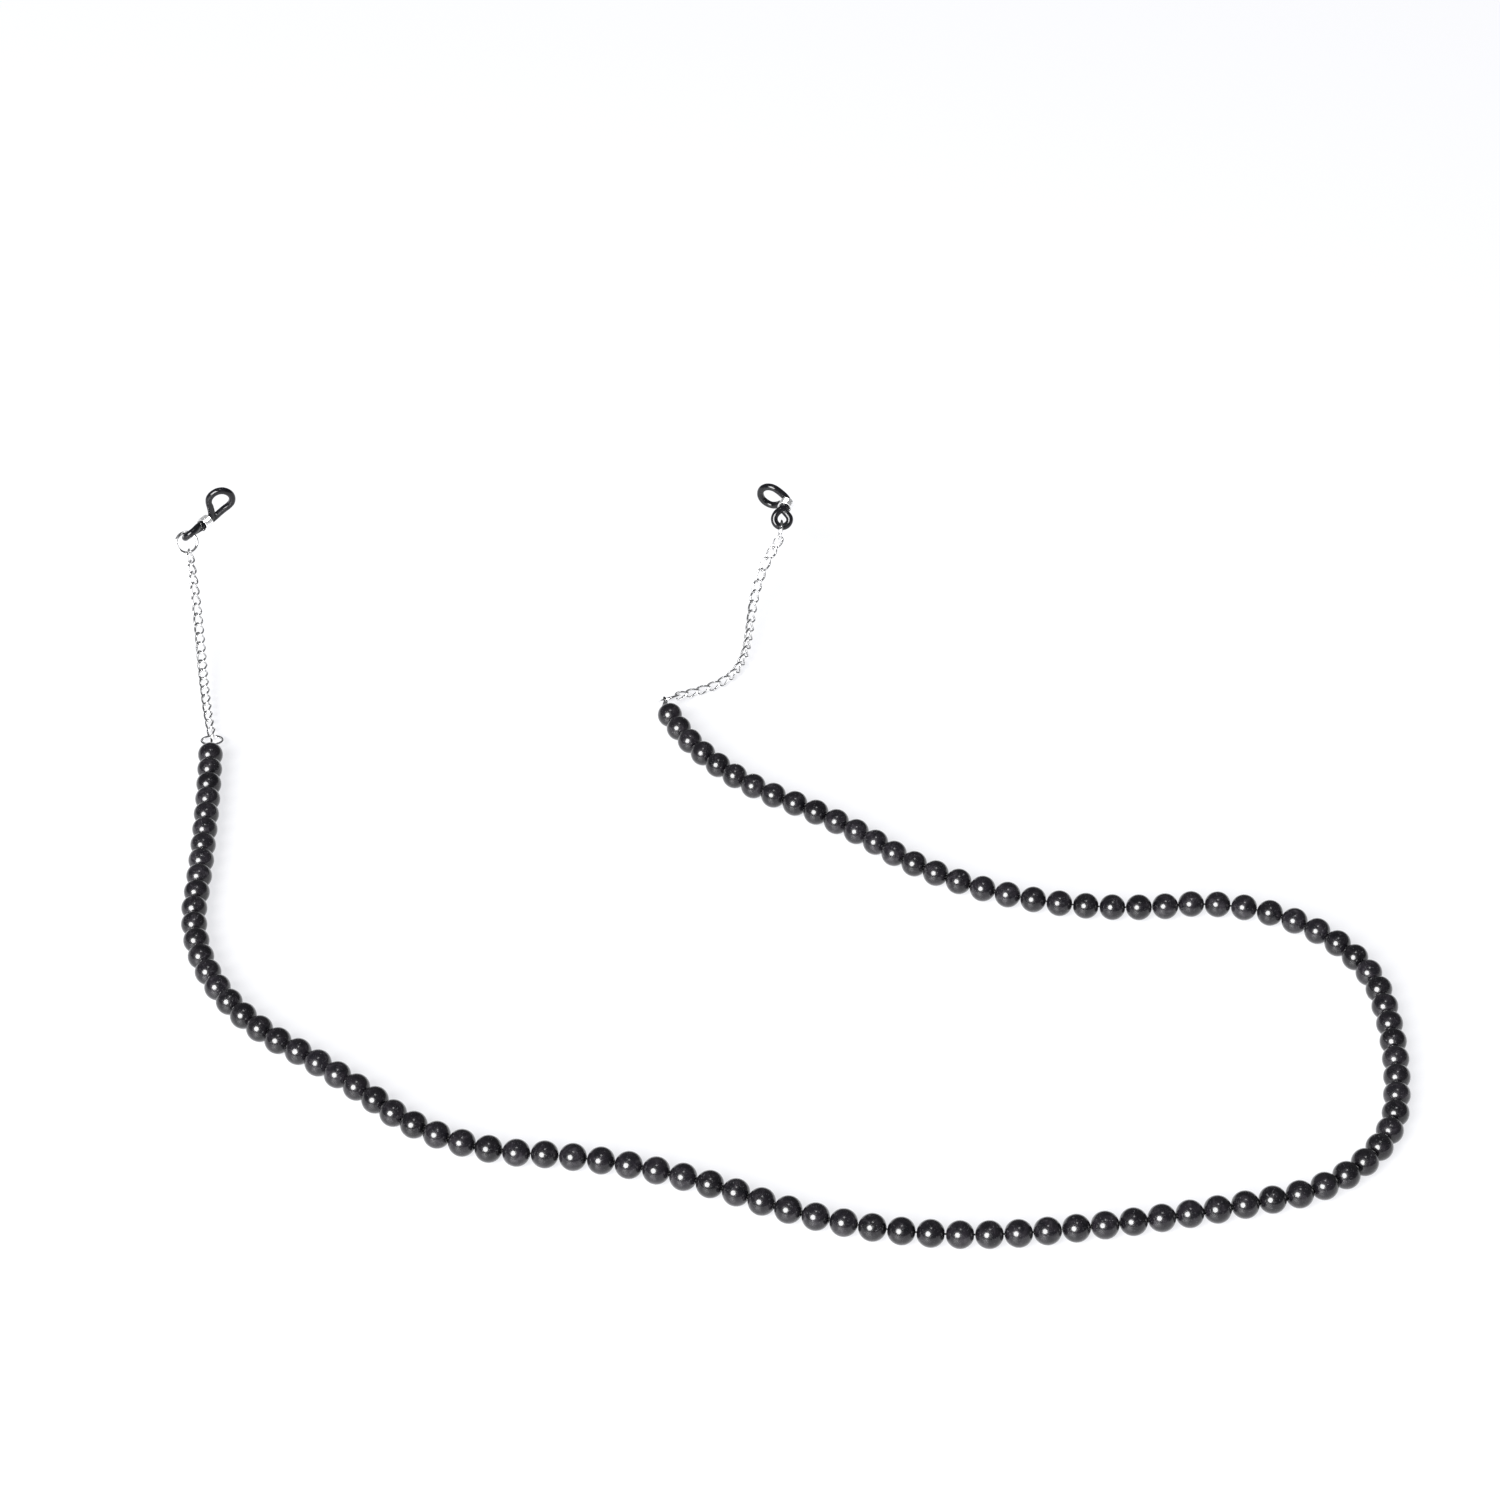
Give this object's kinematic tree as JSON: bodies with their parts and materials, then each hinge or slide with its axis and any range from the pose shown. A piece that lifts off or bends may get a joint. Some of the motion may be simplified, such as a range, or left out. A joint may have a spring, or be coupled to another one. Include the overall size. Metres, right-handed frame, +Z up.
{
  "type": "beaded eyeglass retainer strap",
  "caption": "Strand of round beads with a metal chain, rings and a coil-pinched silicone loop at each end, worn round the neck to hold glasses.",
  "frame": {"origin": "middle of the strap's footprint, on the table it lies on", "axes": "+X from the left end towards the right end, +Y from the bottom of the beaded loop towards the glasses, +Z up from the table"},
  "size_m": [0.2892, 0.2587, 0.0318],
  "materials": {
    "bead": "semi-gloss charcoal, lightly scuffed; could be glass or stone",
    "cord": "matt black cord",
    "bright_metal": "bright silver-coloured wire",
    "silicone": "smooth glossy black silicone"
  },
  "bodies": {
    "strand_01": {"bead_run_01": "bead", "cord_run_01": "cord", "left_crimp": "bright_metal"},
    "strand_02": {"bead_run_02": "bead", "cord_run_02": "cord"},
    "strand_03": {"bead_run_03": "bead", "cord_run_03": "cord"},
    "strand_04": {"bead_run_04": "bead", "cord_run_04": "cord"},
    "strand_05": {"bead_run_05": "bead", "cord_run_05": "cord"},
    "strand_06": {"bead_run_06": "bead", "cord_run_06": "cord"},
    "strand_07": {"bead_run_07": "bead", "cord_run_07": "cord"},
    "strand_08": {"bead_run_08": "bead", "cord_run_08": "cord"},
    "strand_09": {"bead_run_09": "bead", "cord_run_09": "cord"},
    "strand_10": {"bead_run_10": "bead", "cord_run_10": "cord"},
    "strand_11": {"bead_run_11": "bead", "cord_run_11": "cord"},
    "strand_12": {"bead_run_12": "bead", "cord_run_12": "cord"},
    "strand_13": {"bead_run_13": "bead", "cord_run_13": "cord"},
    "strand_14": {"bead_run_14": "bead", "cord_run_14": "cord", "right_crimp": "bright_metal"},
    "left_end_ring": {"left_end_ring": "bright_metal"},
    "left_chain_01": {"left_chain_01": "bright_metal"},
    "left_chain_02": {"left_chain_02": "bright_metal"},
    "left_chain_03": {"left_chain_03": "bright_metal"},
    "left_chain_04": {"left_chain_04": "bright_metal"},
    "left_chain_05": {"left_chain_05": "bright_metal"},
    "left_chain_06": {"left_chain_06": "bright_metal"},
    "left_chain_07": {"left_chain_07": "bright_metal"},
    "left_chain_08": {"left_chain_08": "bright_metal"},
    "left_chain_09": {"left_chain_09": "bright_metal"},
    "left_chain_10": {"left_chain_10": "bright_metal"},
    "left_top_ring": {"left_top_ring": "bright_metal"},
    "left_band": {"left_band": "silicone"},
    "left_coil": {"left_coil": "bright_metal"},
    "right_end_ring": {"right_end_ring": "bright_metal"},
    "right_chain_01": {"right_chain_01": "bright_metal"},
    "right_chain_02": {"right_chain_02": "bright_metal"},
    "right_chain_03": {"right_chain_03": "bright_metal"},
    "right_chain_04": {"right_chain_04": "bright_metal"},
    "right_chain_05": {"right_chain_05": "bright_metal"},
    "right_chain_06": {"right_chain_06": "bright_metal"},
    "right_chain_07": {"right_chain_07": "bright_metal"},
    "right_chain_08": {"right_chain_08": "bright_metal"},
    "right_chain_09": {"right_chain_09": "bright_metal"},
    "right_chain_10": {"right_chain_10": "bright_metal"},
    "right_top_ring": {"right_top_ring": "bright_metal"},
    "right_band": {"right_band": "silicone"},
    "right_coil": {"right_coil": "bright_metal"}
  },
  "joints": [
    {"name": "strand_bend_06_07", "type": "hinge", "parent": "strand_07", "child": "strand_06", "pos_m": [0.06544, -0.12572, 0.003], "axis": [0, 0, 1], "range_deg": [-12, 12]},
    {"name": "strand_bend_05_06", "type": "hinge", "parent": "strand_06", "child": "strand_05", "pos_m": [0.00622, -0.11832, 0.003], "axis": [0, 0, -1], "range_deg": [-12, 12]},
    {"name": "strand_bend_04_05", "type": "hinge", "parent": "strand_05", "child": "strand_04", "pos_m": [-0.03935, -0.10265, 0.003], "axis": [0, 0, 1], "range_deg": [-12, 12]},
    {"name": "strand_bend_03_04", "type": "hinge", "parent": "strand_04", "child": "strand_03", "pos_m": [-0.073, -0.09076, 0.003], "axis": [0, 0, -1], "range_deg": [-12, 12]},
    {"name": "strand_bend_02_03", "type": "hinge", "parent": "strand_03", "child": "strand_02", "pos_m": [-0.09523, -0.07021, 0.003], "axis": [0, 0, 1], "range_deg": [-12, 12]},
    {"name": "strand_bend_01_02", "type": "hinge", "parent": "strand_02", "child": "strand_01", "pos_m": [-0.12572, -0.02003, 0.003], "axis": [0, 0, -1], "range_deg": [-12, 12]},
    {"name": "strand_bend_07_08", "type": "hinge", "parent": "strand_07", "child": "strand_08", "pos_m": [0.11848, -0.11353, 0.003], "axis": [0, 0, 1], "range_deg": [-12, 12]},
    {"name": "strand_bend_08_09", "type": "hinge", "parent": "strand_08", "child": "strand_09", "pos_m": [0.14062, -0.07982, 0.003], "axis": [0, 0, -1], "range_deg": [-12, 12]},
    {"name": "strand_bend_09_10", "type": "hinge", "parent": "strand_09", "child": "strand_10", "pos_m": [0.14027, -0.04364, 0.003], "axis": [0, 0, 1], "range_deg": [-12, 12]},
    {"name": "strand_bend_10_11", "type": "hinge", "parent": "strand_10", "child": "strand_11", "pos_m": [0.09296, -0.01656, 0.003], "axis": [0, 0, -1], "range_deg": [-12, 12]},
    {"name": "strand_bend_11_12", "type": "hinge", "parent": "strand_11", "child": "strand_12", "pos_m": [0.05186, -0.00834, 0.003], "axis": [0, 0, 1], "range_deg": [-12, 12]},
    {"name": "strand_bend_12_13", "type": "hinge", "parent": "strand_12", "child": "strand_13", "pos_m": [0.02815, 0.01023, 0.003], "axis": [0, 0, -1], "range_deg": [-12, 12]},
    {"name": "strand_bend_13_14", "type": "hinge", "parent": "strand_13", "child": "strand_14", "pos_m": [0.0042, 0.02872, 0.003], "axis": [0, 0, 1], "range_deg": [-12, 12]},
    {"name": "left_end_ring_swing", "type": "hinge", "parent": "strand_01", "child": "left_end_ring", "pos_m": [-0.12957, 0.0506, 0.00131], "axis": [-0.0178, 0.4225, 0.9062], "range_deg": [-20, 20]},
    {"name": "left_chain_01_bend", "type": "hinge", "parent": "left_end_ring", "child": "left_chain_01", "pos_m": [-0.12993, 0.05469, 0.00049], "axis": [-0.9963, -0.0842, 0.0168], "range_deg": [-12, 20]},
    {"name": "left_chain_02_bend", "type": "hinge", "parent": "left_chain_01", "child": "left_chain_02", "pos_m": [-0.13127, 0.06027, 0.00127], "axis": [0.0231, -0.1076, 0.9939], "range_deg": [-15, 15]},
    {"name": "left_chain_03_bend", "type": "hinge", "parent": "left_chain_02", "child": "left_chain_03", "pos_m": [-0.13251, 0.06634, 0.00198], "axis": [0.9821, 0.1886, 0], "range_deg": [-15, 15]},
    {"name": "left_chain_04_bend", "type": "hinge", "parent": "left_chain_03", "child": "left_chain_04", "pos_m": [-0.13362, 0.07243, 0.00278], "axis": [-0.0244, 0.1388, -0.99], "range_deg": [-15, 15]},
    {"name": "left_chain_05_bend", "type": "hinge", "parent": "left_chain_04", "child": "left_chain_05", "pos_m": [-0.13466, 0.07851, 0.00376], "axis": [-0.9865, -0.1639, 0], "range_deg": [-15, 15]},
    {"name": "left_chain_06_bend", "type": "hinge", "parent": "left_chain_05", "child": "left_chain_06", "pos_m": [-0.13564, 0.08455, 0.00497], "axis": [0.035, -0.2156, 0.9759], "range_deg": [-15, 15]},
    {"name": "left_chain_07_bend", "type": "hinge", "parent": "left_chain_06", "child": "left_chain_07", "pos_m": [-0.13661, 0.09052, 0.0065], "axis": [0.9868, 0.1621, 0], "range_deg": [-15, 15]},
    {"name": "left_chain_08_bend", "type": "hinge", "parent": "left_chain_07", "child": "left_chain_08", "pos_m": [-0.13759, 0.09637, 0.00843], "axis": [-0.0587, 0.3396, -0.9388], "range_deg": [-15, 15]},
    {"name": "left_chain_09_bend", "type": "hinge", "parent": "left_chain_08", "child": "left_chain_09", "pos_m": [-0.13861, 0.10204, 0.01082], "axis": [-0.9826, -0.1858, 0], "range_deg": [-15, 15]},
    {"name": "left_chain_10_bend", "type": "hinge", "parent": "left_chain_09", "child": "left_chain_10", "pos_m": [-0.1397, 0.10745, 0.01374], "axis": [0.1073, -0.501, 0.8588], "range_deg": [-15, 15]},
    {"name": "left_top_ring_swing", "type": "hinge", "parent": "left_chain_10", "child": "left_top_ring", "pos_m": [-0.14077, 0.1121, 0.01692], "axis": [-0.9394, -0.3331, -0.0812], "range_deg": [-20, 20]},
    {"name": "left_band_swing", "type": "hinge", "parent": "left_top_ring", "child": "left_band", "pos_m": [-0.1418, 0.11424, 0.02005], "axis": [-0.2206, 0.7686, -0.6005], "range_deg": [-60, 14]},
    {"name": "left_coil_slide", "type": "slide", "parent": "left_band", "child": "left_coil", "axis": [0.5997, 0.7957, 0.085], "range_m": [-0.00015, 0.0001]},
    {"name": "right_end_ring_swing", "type": "hinge", "parent": "strand_14", "child": "right_end_ring", "pos_m": [-0.01966, 0.06743, 0.00258], "axis": [-0.3544, 0.1162, 0.9278], "range_deg": [-20, 20]},
    {"name": "right_chain_01_bend", "type": "hinge", "parent": "right_end_ring", "child": "right_chain_01", "pos_m": [-0.01667, 0.07008, 0.00182], "axis": [-0.4637, 0.6316, -0.6213], "range_deg": [-12, 20]},
    {"name": "right_chain_02_bend", "type": "hinge", "parent": "right_chain_01", "child": "right_chain_02", "pos_m": [-0.01182, 0.0731, 0.00109], "axis": [0.0364, 0.0213, 0.9991], "range_deg": [-15, 15]},
    {"name": "right_chain_03_bend", "type": "hinge", "parent": "right_chain_02", "child": "right_chain_03", "pos_m": [-0.00651, 0.07636, 0.00122], "axis": [0.6215, -0.7834, 0], "range_deg": [-15, 15]},
    {"name": "right_chain_04_bend", "type": "hinge", "parent": "right_chain_03", "child": "right_chain_04", "pos_m": [-0.00252, 0.08109, 0.00167], "axis": [0.0416, 0.0759, -0.9962], "range_deg": [-15, 15]},
    {"name": "right_chain_05_bend", "type": "hinge", "parent": "right_chain_04", "child": "right_chain_05", "pos_m": [-0.00042, 0.08691, 0.00232], "axis": [-0.9723, 0.2339, 0], "range_deg": [-15, 15]},
    {"name": "right_chain_06_bend", "type": "hinge", "parent": "right_chain_05", "child": "right_chain_06", "pos_m": [0.00058, 0.09299, 0.00327], "axis": [-0.0219, -0.1829, 0.9829], "range_deg": [-15, 15]},
    {"name": "right_chain_07_bend", "type": "hinge", "parent": "right_chain_06", "child": "right_chain_07", "pos_m": [0.00119, 0.09905, 0.00466], "axis": [0.9949, -0.1006, 0], "range_deg": [-15, 15]},
    {"name": "right_chain_08_bend", "type": "hinge", "parent": "right_chain_07", "child": "right_chain_08", "pos_m": [0.00191, 0.1049, 0.00667], "axis": [0.0638, 0.3811, -0.9223], "range_deg": [-15, 15]},
    {"name": "right_chain_09_bend", "type": "hinge", "parent": "right_chain_08", "child": "right_chain_09", "pos_m": [0.0032, 0.11029, 0.00953], "axis": [-0.943, 0.3327, 0], "range_deg": [-15, 15]},
    {"name": "right_chain_10_bend", "type": "hinge", "parent": "right_chain_09", "child": "right_chain_10", "pos_m": [0.0055, 0.11463, 0.01333], "axis": [-0.4339, -0.522, 0.7343], "range_deg": [-15, 15]},
    {"name": "right_top_ring_swing", "type": "hinge", "parent": "right_chain_10", "child": "right_top_ring", "pos_m": [0.00847, 0.11742, 0.01738], "axis": [-0.0167, -0.9999, 0], "range_deg": [-20, 20]},
    {"name": "right_band_swing", "type": "hinge", "parent": "right_top_ring", "child": "right_band", "pos_m": [0.00891, 0.11741, 0.02128], "axis": [-0.9937, 0.0166, 0.111], "range_deg": [-60, 25]},
    {"name": "right_coil_slide", "type": "slide", "parent": "right_band", "child": "right_coil", "axis": [0.3008, 0.9524, 0.0501], "range_m": [-0.00015, 0.0001]}
  ]
}
